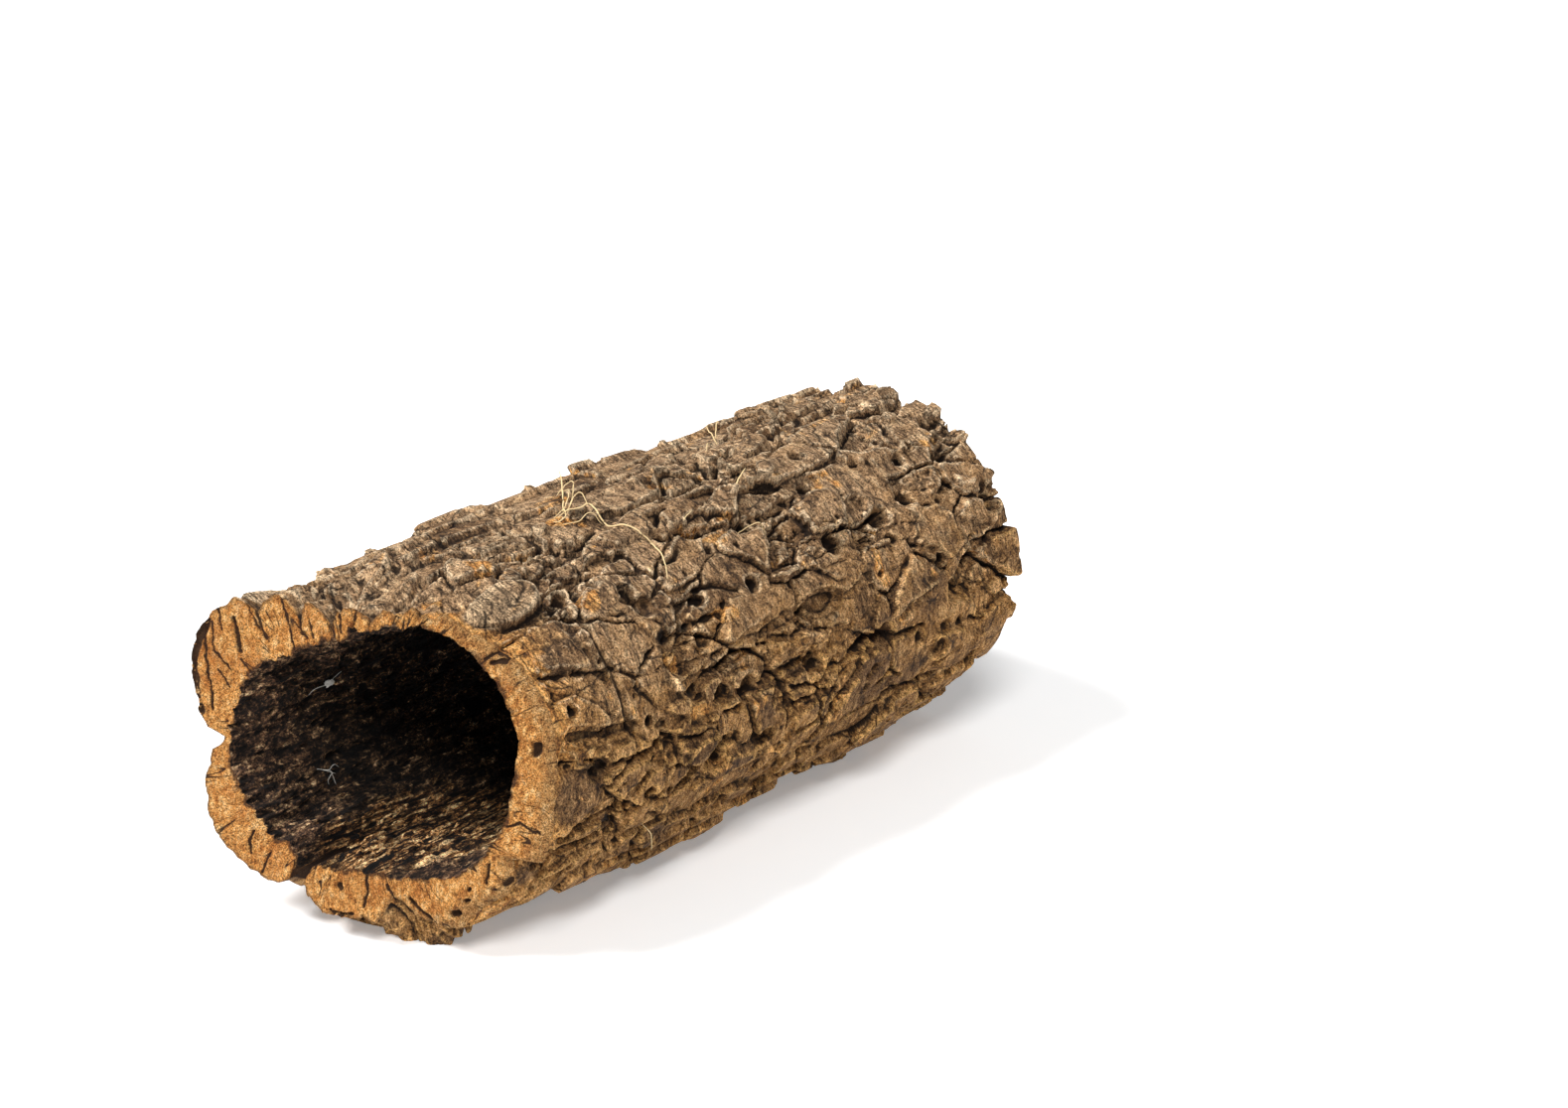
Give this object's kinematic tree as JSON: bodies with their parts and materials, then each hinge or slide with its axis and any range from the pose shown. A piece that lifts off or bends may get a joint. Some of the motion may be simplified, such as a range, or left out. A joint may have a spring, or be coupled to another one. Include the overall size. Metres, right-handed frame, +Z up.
{
  "type": "cork branch",
  "caption": "Length of virgin cork bark taken off a branch as a hollow tube: rough furrowed outside, sawn ends, one slanted, lying on its side.",
  "frame": {"origin": "middle of the tube's box, on the surface it lies on", "axes": "+Y along the tube, away from its slanted end; +Z up; +X to the right as seen from the slanted end"},
  "size_m": [0.292, 0.609, 0.2506],
  "materials": {
    "cork_bark": "dry rough bark, grey-brown outside, orange-tan where it is sawn, dark brown in the hollow",
    "dry_rootlet": "dry pale rootlets and straws caught on the bark"
  },
  "bodies": {
    "root": {"cork_tube": "cork_bark"}
  },
  "joints": []
}
